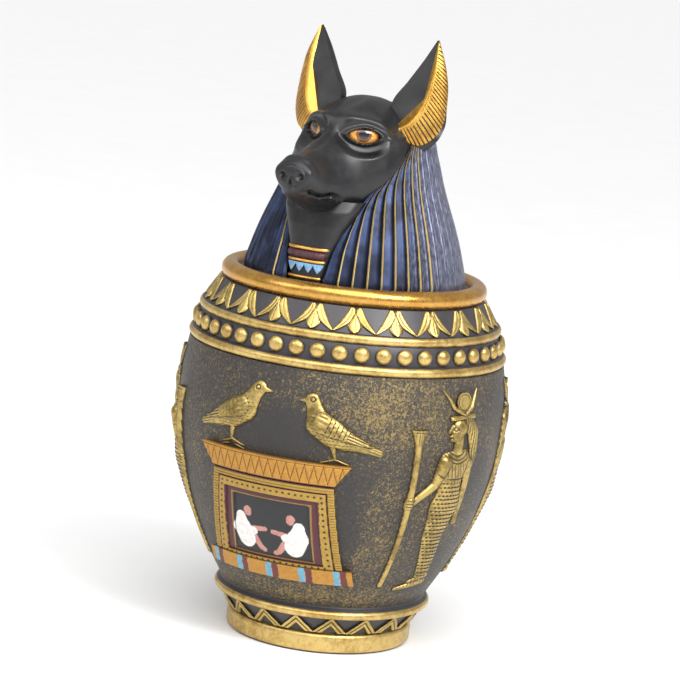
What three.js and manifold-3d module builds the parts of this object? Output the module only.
// A canopic jar with a jackal-head lid: a painted, stone-filled resin copy in two loose pieces.
// Millimetres, +Z up, the front faces -Y. The origin is the middle of the underside.

import * as THREE from "three";
import { mergeVertices } from "three/addons/utils/BufferGeometryUtils.js";
import Module from "manifold-3d";

const wasm = await Module();
wasm.setup();

// ---------- Driving dimensions ----------

const GAP = 0.3; // air between the lid and the jar where they meet

// belly: an upright barrel whose radius falls away from its widest ring as a parabola
const BELLY_R = 69.8;
const BELLY_Z = 102;
const BELLY_FALL = 0.004;
const WALL = 5.5;
const FLOOR = 9;

// foot, waist band and its lip
const FOOT_R = 40;
const FOOT_H = 8.8;
const WAIST_R = 38.8;
const WAIST_TOP_R = 43.6;
const WAIST_TOP_Z = 17;
const LIP_R = 46.9;
const BELLY_BOTTOM_Z = 22;

// rings, bead band, lotus band and rim roll
const LOW_RING_Z = 127.8;
const LOW_RING_R = 68.3;
const BEAD_Z = 133.8;
const BEAD_BAND_R = 65.2;
const HIGH_RING_Z = 139.9;
const HIGH_RING_R = 64.6;
const RING_HALF = 2;
const LOTUS_BASE_Z = 142;
const LOTUS_BASE_R = 62.2;
const LOTUS_TOP_Z = 151.8;
const LOTUS_TOP_R = 56.2;
const RIM_R = 53.1;
const RIM_Z = 155.5;
const RIM_ROLL = 3.9;
const SEAT_Z = 156.2;
const SEAT_R = 49.7;
const MOUTH_R = 42;
const MOUTH_BOTTOM_Z = 145.5;

const BEADS = 45;
const BEAD_R = 3.5;
const LOTUSES = 22;
const CHEVRONS = 18;
const VESSEL_SIDES = CHEVRONS * 2; // one flat facet behind each half of a chevron

// places round the belly, in degrees from the front
const SHRINES = [0, 180];
const KEEPER = 67.5; // the four robed keepers stand this far from the nearer shrine
const BIRD_SHIFT = 4;

// lid
const LID_TURN = -4.5; // degrees the lid rests turned from the jar's front
const PLUG_R = MOUTH_R - 0.7;
const PLUG_H = 5;
const LOCKS = 45;
const LOCK_GROOVE = 0.9;
const NECK_FRONT_R = 46.6;
const EAR_TIP_Z = 261;
const EAR_EDGES = 5;

const RESIN = { roughness: 0.5, metalness: 0.35 };
const JAR_COLOUR = 0x5a4a26;
const LID_COLOUR = 0x25262c;

// ---------- Solids ----------

// a closed geometry as a manifold, with its shared corners merged and its faces turned outwards
function solid(geometry) {
  geometry.deleteAttribute("normal");
  geometry.deleteAttribute("uv");
  const merged = mergeVertices(geometry, 1e-4);
  const points = Float32Array.from(merged.attributes.position.array);
  const corners = Uint32Array.from(merged.index.array);
  const made = new wasm.Manifold(new wasm.Mesh({ numProp: 3, vertProperties: points, triVerts: corners }));
  if (made.volume() > 0) return made;
  for (let i = 0; i < corners.length; i += 3) {
    [corners[i + 1], corners[i + 2]] = [corners[i + 2], corners[i + 1]];
  }
  return new wasm.Manifold(new wasm.Mesh({ numProp: 3, vertProperties: points, triVerts: corners }));
}

function joined(solids) {
  return solids.reduce((whole, piece) => whole.add(piece));
}

function named(name, whole, colour) {
  const cut = whole.getMesh();
  const geometry = new THREE.BufferGeometry();
  geometry.setAttribute("position", new THREE.BufferAttribute(Float32Array.from(cut.vertProperties), 3));
  geometry.setIndex(new THREE.BufferAttribute(Uint32Array.from(cut.triVerts), 1));
  geometry.computeVertexNormals();
  const material = new THREE.MeshStandardMaterial({ color: colour, ...RESIN, flatShading: true });
  const mesh = new THREE.Mesh(geometry, material);
  mesh.name = name;
  return mesh;
}

// moves every corner of a geometry to where place(corner) puts it
function reshaped(geometry, place) {
  const at = geometry.attributes.position;
  const corner = new THREE.Vector3();
  for (let i = 0; i < at.count; i++) {
    corner.fromBufferAttribute(at, i);
    place(corner);
    at.setXYZ(i, corner.x, corner.y, corner.z);
  }
  return geometry;
}

// a turned solid about Z from [radius, height] points
function turned(profile, sides) {
  const points = profile.map(([r, z]) => new THREE.Vector2(r, z));
  return new THREE.LatheGeometry(points, sides).rotateX(Math.PI / 2);
}

// ---------- Surfaces that the reliefs lie on ----------

const mix = THREE.MathUtils.lerp;

function bellyRadius(z) {
  return BELLY_R - BELLY_FALL * (z - BELLY_Z) ** 2;
}

function coneRadius(z, lowZ, lowR, highZ, highR) {
  return mix(lowR, highR, (z - lowZ) / (highZ - lowZ));
}

const lotusRadius = (z) => coneRadius(z, LOTUS_BASE_Z, LOTUS_BASE_R, LOTUS_TOP_Z, LOTUS_TOP_R);
const waistRadius = (z) => coneRadius(z, FOOT_H, WAIST_R, WAIST_TOP_Z, WAIST_TOP_R);
const neckRadius = () => NECK_FRONT_R;

// lays a flat relief (x across, y up, z its height) round a surface, facing a given azimuth
function wrapped(geometry, radiusAt, azimuth) {
  const turn = THREE.MathUtils.degToRad(azimuth);
  return reshaped(geometry, (c) => {
    const angle = turn + c.x / radiusAt(c.y);
    const r = radiusAt(c.y) + c.z;
    c.set(r * Math.sin(angle), -r * Math.cos(angle), c.y);
  });
}

// a closed strip along stations [x, y, half-width, height]; round strips have a five-sided section
function strip(stations, { sides = 5, sink = 1 } = {}) {
  const last = stations.length - 1;
  const section = sides === 5 ? [[0, 1], [1, 0.45], [1, 0], [-1, 0], [-1, 0.45]] : [[0, 1], [1, 0], [-1, 0]];
  return reshaped(new THREE.CylinderGeometry(1, 1, 1, sides, last), (c) => {
    const i = Math.round((c.y + 0.5) * last);
    const [x, y, half, height] = stations[i];
    const before = stations[Math.max(i - 1, 0)];
    const after = stations[Math.min(i + 1, last)];
    const along = new THREE.Vector2(after[0] - before[0], after[1] - before[1]).normalize();
    const onAxis = Math.hypot(c.x, c.z) < 0.5;
    const k = Math.round((Math.atan2(c.x, c.z) / (2 * Math.PI)) * sides + sides) % sides;
    const [across, rise] = onAxis ? [0, 0.3] : section[k];
    const z = rise > 0 ? rise * height : -sink;
    c.set(x + along.y * across * half, y - along.x * across * half, z);
  });
}

// a closed plate over rows [y, half-width, height], from its height down to a level under the surface
function plate(rows, { columns = 4, sink = 1.5 } = {}) {
  const last = rows.length - 1;
  return reshaped(new THREE.BoxGeometry(2, 1, 1, columns, last, 1), (c) => {
    const [y, half, height] = rows[Math.round((c.y + 0.5) * last)];
    c.set(c.x * half, y, c.z > 0 ? height : -sink);
  });
}

// a closed flat-topped relief cut to an outline of [x, y] points
function outlined(points, height, sink = 1) {
  const shape = new THREE.Shape(points.map(([x, y]) => new THREE.Vector2(x, y)));
  const cut = new THREE.ExtrudeGeometry(shape, { depth: height + sink, bevelEnabled: false, steps: 1 });
  return cut.translate(0, 0, -sink);
}

function mirrored(stations) {
  return stations.map(([x, ...rest]) => [-x, ...rest]);
}

// ---------- Jar: the vessel ----------

// a raised ring of outer radius `outer` round height z, between the radii just below and above it
function ringProfile(z, outer, below, above) {
  return [
    [below, z - RING_HALF],
    [outer, z - RING_HALF * 0.4],
    [outer - 0.6, z + RING_HALF * 0.7],
    [above, z + RING_HALF],
  ];
}

function vesselOutside() {
  const profile = [[0, 0], [FOOT_R - 2.2, 0], [FOOT_R, 2.6], [FOOT_R, 6.2], [WAIST_R, FOOT_H]];
  profile.push([WAIST_TOP_R, WAIST_TOP_Z], [LIP_R, WAIST_TOP_Z + 1.4], [LIP_R - 0.9, 21.2]);
  const beltRows = 5;
  const beltTop = LOW_RING_Z - RING_HALF;
  for (let i = 0; i < beltRows; i++) {
    const z = mix(BELLY_BOTTOM_Z, beltTop, i / beltRows);
    profile.push([bellyRadius(z), z]);
  }
  profile.push(...ringProfile(LOW_RING_Z, LOW_RING_R, bellyRadius(LOW_RING_Z - RING_HALF), BEAD_BAND_R + 0.8));
  profile.push(...ringProfile(HIGH_RING_Z, HIGH_RING_R, BEAD_BAND_R - 1.6, LOTUS_BASE_R));
  profile.push([LOTUS_TOP_R, LOTUS_TOP_Z]);
  const rollSteps = 5;
  for (let i = 0; i <= rollSteps; i++) {
    const angle = mix(-0.28, 0.72, i / rollSteps) * Math.PI;
    profile.push([RIM_R + RIM_ROLL * Math.cos(angle), RIM_Z + RIM_ROLL * Math.sin(angle)]);
  }
  profile.push([SEAT_R, SEAT_Z], [0, SEAT_Z]);
  return solid(turned(profile, VESSEL_SIDES));
}

function vesselHollow() {
  const profile = [[0, FLOOR], [26, FLOOR], [33, FLOOR + 2.5]];
  for (const z of [24, 42, 68, 102, 136]) {
    profile.push([bellyRadius(z) - WALL, z]);
  }
  profile.push([MOUTH_R, MOUTH_BOTTOM_Z], [MOUTH_R, SEAT_Z + 1], [0, SEAT_Z + 1]);
  return solid(turned(profile, 20));
}

// ---------- Jar: bands of ornament ----------

function beads() {
  const solids = [];
  for (let i = 0; i < BEADS; i++) {
    const stud = new THREE.ConeGeometry(BEAD_R + 0.6, 3.4, 6).rotateX(Math.PI / 2).translate(0, BEAD_Z, 1);
    solids.push(solid(wrapped(stud, () => BEAD_BAND_R, ((i + 0.5) * 360) / BEADS)));
  }
  return joined(solids);
}

// a lotus hanging from the rim: a pointed middle petal between two that curl out to the neighbours
function lotus(azimuth) {
  const reach = (Math.PI * lotusRadius(142)) / LOTUSES - 0.2;
  const right = [[1.6, 151.4], [5.6, 149], [reach, 142.4], [2.3, 147.8]];
  const left = mirrored(right).reverse();
  return solid(wrapped(outlined([...right, [0, 142.4], ...left], 1.3), lotusRadius, azimuth));
}

function lotuses() {
  const solids = [];
  for (let i = 0; i < LOTUSES; i++) solids.push(lotus(((i + 0.5) * 360) / LOTUSES));
  return joined(solids);
}

function chevrons() {
  const reach = (Math.PI * waistRadius(10)) / CHEVRONS - 0.3;
  const outline = [[-reach, 9.6], [3 - reach, 9.6], [0, 13.4], [reach - 3, 9.6], [reach, 9.6], [0, 17.4]];
  const solids = [];
  for (let i = 0; i < CHEVRONS; i++) {
    solids.push(solid(wrapped(outlined(outline, 1.1), waistRadius, ((i + 0.5) * 360) / CHEVRONS)));
  }
  return joined(solids);
}

// ---------- Jar: reliefs on the belly ----------

// a shrine front: flared cornice, door frame round a sunk panel, and a base slab; the back one is plainer
function shrine(azimuth) {
  const on = (rows, options) => solid(wrapped(plate(rows, options), bellyRadius, azimuth));
  const frame = on([[40.4, 29.2, 2.4], [59, 28.2, 2.4], [78.6, 27.3, 2.4]]);
  const step = on([[42.2, 21.5, 6], [71.6, 20.5, 6]], { sink: -1.5 });
  const panel = on([[43.6, 17.6, 6], [69.2, 16.5, 6]], { sink: -0.9 });
  const cornice = on([[78.9, 27.4, 2.6], [88.3, 34, 3.4]]);
  const base = on([[34, 32.6, 3.2], [40.7, 33, 3.2]]);
  const door = azimuth === 0 ? frame.subtract(step).subtract(panel) : frame.subtract(panel);
  return joined([door, cornice, base]);
}

// a standing bird in profile with folded wings, facing the middle of the cornice
function bird(side, drop) {
  const back = [[9.9, 113.3], [13.6, 115.6], [16.6, 116.8], [19.4, 115], [22.4, 108.6], [29, 104.6], [37, 101]];
  const tail = [[46, 95.6], [45.4, 92.8], [36, 94.4], [26, 94.4]];
  const breast = [[20.4, 96.4], [15.8, 101], [14.4, 107], [13.2, 112.2]];
  const forms = [
    outlined([...back, ...tail, ...breast], 1.8),
    strip([[20, 104, 2.6, 2.9], [28, 101, 4.2, 3.1], [43.6, 97, 0.4, 2]], { sides: 3 }),
    strip([[25.5, 96.5, 1.4, 1.6], [27.2, 88, 0.8, 1.6]], { sides: 3 }),
  ];
  return forms.map((form) => {
    const placed = reshaped(form, (c) => {
      c.y += drop * (c.y > 92 ? 1 : 0);
      c.x = side * (c.x - BIRD_SHIFT) + BIRD_SHIFT;
    });
    return solid(wrapped(placed, bellyRadius, 0));
  });
}

// a robed keeper in profile with a horned sun-disc crown, one hand on a tall flared staff
function keeper(azimuth, facing) {
  const crown = [[-10, 121.2], [-3.4, 114.6], [-1.4, 119], [4.6, 119], [6.6, 114.6], [10.6, 121.2], [6.4, 111]];
  const hair = [[12.6, 103], [11.4, 88], [6, 94], [-2, 94]];
  const face = [[-3.4, 98.6], [-5.6, 102], [-4.8, 105], [-5, 109.6], [-2, 111]];
  const staff = [[-15.6, 34, 1.1, 1.5], [-18.9, 73, 1.4, 1.9], [-20.2, 99, 1.5, 2.1], [-20.4, 105, 3.4, 2.3]];
  const forms = [
    outlined([...crown, ...hair, ...face], 2),
    strip([[4.3, 32.4, 3.8, 1.8], [0, 70, 8.2, 2.8], [0.7, 83, 5.4, 2.4], [-0.8, 94.4, 8.4, 2.5]]),
    strip([[8, 33.2, 1.9, 2], [-7.8, 31.4, 1.3, 1.4]], { sides: 3 }),
    strip([[-5.4, 92.6, 3, 3.4], [-8.2, 84, 2.6, 3.2], [-19, 72.6, 1.8, 3]], { sides: 3 }),
    strip(staff, { sides: 3 }),
  ];
  return forms.map((form) => {
    const placed = reshaped(form, (c) => c.setX(facing * c.x));
    return solid(wrapped(placed, bellyRadius, azimuth));
  });
}

function reliefs() {
  const solids = SHRINES.map(shrine);
  solids.push(...bird(1, 0), ...bird(-1, 1.4));
  for (const azimuth of SHRINES) {
    solids.push(...keeper(azimuth + KEEPER, 1), ...keeper(azimuth - KEEPER, -1));
  }
  return joined(solids);
}

function jarBody() {
  const outside = joined([vesselOutside(), beads(), lotuses(), chevrons(), reliefs()]);
  return named("jar_body", outside.subtract(vesselHollow()), JAR_COLOUR);
}

// ---------- Lid: headdress, neck and plug ----------

function headdress() {
  const base = SEAT_Z + GAP;
  const profile = [[0, base], [47.3, base], [39.4, 184], [29.6, 212], [21, 226], [0, 232.6]];
  const bell = turned(profile, LOCKS * 2);
  const grooved = reshaped(bell, (c) => {
    const r = Math.hypot(c.x, c.y);
    const step = Math.round((Math.atan2(c.x, -c.y) / Math.PI) * LOCKS + LOCKS * 2);
    if (r > 20 && step % 2 === 1) c.set(c.x * (1 - LOCK_GROOVE / r), c.y * (1 - LOCK_GROOVE / r), c.z);
  });
  return solid(grooved);
}

function plug() {
  const bottom = SEAT_Z - PLUG_H;
  const top = SEAT_Z + 2;
  return solid(turned([[0, bottom], [PLUG_R, bottom], [PLUG_R, top], [0, top]], 24));
}

// the bare throat between the two front edges of the headdress, with the collar tag's bars on it
function throat() {
  const rows = [[SEAT_Z + 0.5, 8.4, 0], [172, 10.4, -0.4], [180, 13.4, -1.6], [189, 16.5, -4]];
  const column = plate(rows, { sink: 20 });
  const bars = [[158.9, 7.8], [166.4, 8.6], [172.4, 9.6]];
  const solids = bars.map(([z, half]) => {
    const bar = plate([[z - 0.8, half, 0.9], [z + 0.8, half, 0.9]], { columns: 2 });
    return solid(wrapped(bar, neckRadius, 0));
  });
  solids.push(solid(wrapped(column, neckRadius, 0)));
  return joined(solids);
}

// ---------- Lid: the jackal's head ----------

// cross-sections of the head from the crown to the nose: [forward, top, bottom, half-width, widest height]
const HEAD_SECTIONS = [
  [-14, 229, 200, 21, 214],
  [-2, 233.6, 192, 25.5, 214],
  [9, 234.2, 187, 26.5, 212],
  [17, 232.6, 185.5, 25.4, 209],
  [24, 230, 185, 23, 206],
  [30, 227.6, 185, 19.6, 204],
  [35.5, 221, 185.4, 15.6, 202],
  [42, 216.4, 186.6, 12.6, 200],
  [50, 213.2, 189, 10.6, 200],
  [58, 211.4, 192, 9.2, 201.5],
  [63.6, 210, 195.4, 7.8, 203],
  [67, 206.6, 200.2, 4.4, 203.6],
];
const CROWN_TAPER = 0.16; // how much narrower than a half ellipse each section grows towards its top

function skull() {
  const sides = 14;
  const last = HEAD_SECTIONS.length - 1;
  const loft = new THREE.CylinderGeometry(1, 1, 1, sides, last);
  return solid(reshaped(loft, (c) => {
    const [forward, top, bottom, half, waist] = HEAD_SECTIONS[Math.round((0.5 - c.y) * last)];
    const reach = c.z > 0 ? top - waist : waist - bottom;
    const taper = 1 - CROWN_TAPER * Math.max(c.z, 0);
    c.set(c.x * half * taper, -forward, waist + c.z * reach);
  }));
}

// a rounded lump of the face: half sizes, turn about Z, and place as [across, forward, height]
function lump(side, [x, y, z], turn, [across, forward, height]) {
  const ball = new THREE.SphereGeometry(1, 8, 4).scale(x, y, z).rotateZ(side * turn);
  return solid(ball.translate(side * across, -forward, height));
}

// an eye, its brow ridge, a nostril and the upper lip; side is 1 for the jackal's left
function faceForms(side) {
  const eye = lump(side, [6.4, 4.4, 3.6], 0.64, [12.2, 28.6, 219.9]);
  const brow = lump(side, [8.4, 5.4, 3], 0.6, [10.8, 25.4, 225.8]);
  const nostril = lump(side, [4.6, 4.2, 5], 0, [3.2, 62.6, 205]);
  const lip = lump(side, [3.6, 15, 4.4], 0.12, [6.2, 49, 198.4]);
  return [eye, brow, nostril, lip];
}

// the mouth line, a thin slot from under the nose back to the corner of the mouth
function mouthCut(side) {
  const length = 22;
  const slot = new THREE.BoxGeometry(12, length, 0.9, 1, 2, 1);
  return solid(reshaped(slot, (c) => {
    const rise = 1.5 * Math.cos((c.y / length) * Math.PI);
    c.set(side * (c.x + 11 + c.y * 0.12), c.y - 51, c.z + 193.8 + rise);
  }));
}

// outline of an ear by height: [height, inner edge, front rim, outer edge, back, inner back], each of
// them [across, forward]
const EAR_SECTIONS = [
  [214, [18, 6], [23, 12], [28.6, 5], [24, -5], [17.4, 2]],
  [219, [16.4, 8], [21, 13.5], [33.4, 4], [26, -8], [15.6, 4]],
  [225, [14, 8.5], [23.4, 11.5], [35, 1], [25, -9], [13.2, 4.6]],
  [233, [12.2, 6.8], [26.6, 8], [34.8, 0.4], [24, -8], [11.6, 3]],
  [243, [17.8, 4.6], [28, 5.6], [33.8, -0.4], [25.6, -6], [17.2, 1.2]],
  [253, [23.4, 2.4], [28.2, 3], [31, -0.2], [27.2, -3.4], [23, -0.6]],
  [EAR_TIP_Z, [27.3, 0.8], [27.8, 0.9], [28, 0.3], [27.6, 0], [27.2, 0.3]],
];

function ear(side) {
  const last = EAR_SECTIONS.length - 1;
  const loft = new THREE.CylinderGeometry(1, 1, 1, EAR_EDGES, last);
  return solid(reshaped(loft, (c) => {
    const [height, ...edges] = EAR_SECTIONS[Math.round((c.y + 0.5) * last)];
    const onAxis = Math.hypot(c.x, c.z) < 0.5;
    const k = Math.round((Math.atan2(c.x, c.z) / (2 * Math.PI) + 1) * EAR_EDGES) % EAR_EDGES;
    const middle = [0, 1].map((axis) => edges.reduce((sum, edge) => sum + edge[axis], 0) / EAR_EDGES);
    const [across, forward] = onAxis ? middle : edges[k];
    c.set(side * across, -forward, height);
  }));
}

function jackalLid() {
  const face = [-1, 1].flatMap(faceForms);
  const ears = [-1, 1].map(ear);
  const whole = joined([headdress(), plug(), throat(), skull(), ...face, ...ears]);
  const lid = named("jackal_lid", whole.subtract(mouthCut(1)).subtract(mouthCut(-1)), LID_COLOUR);
  lid.rotation.z = THREE.MathUtils.degToRad(LID_TURN);
  return lid;
}

const group = new THREE.Group();
group.add(jarBody(), jackalLid());

export default group;
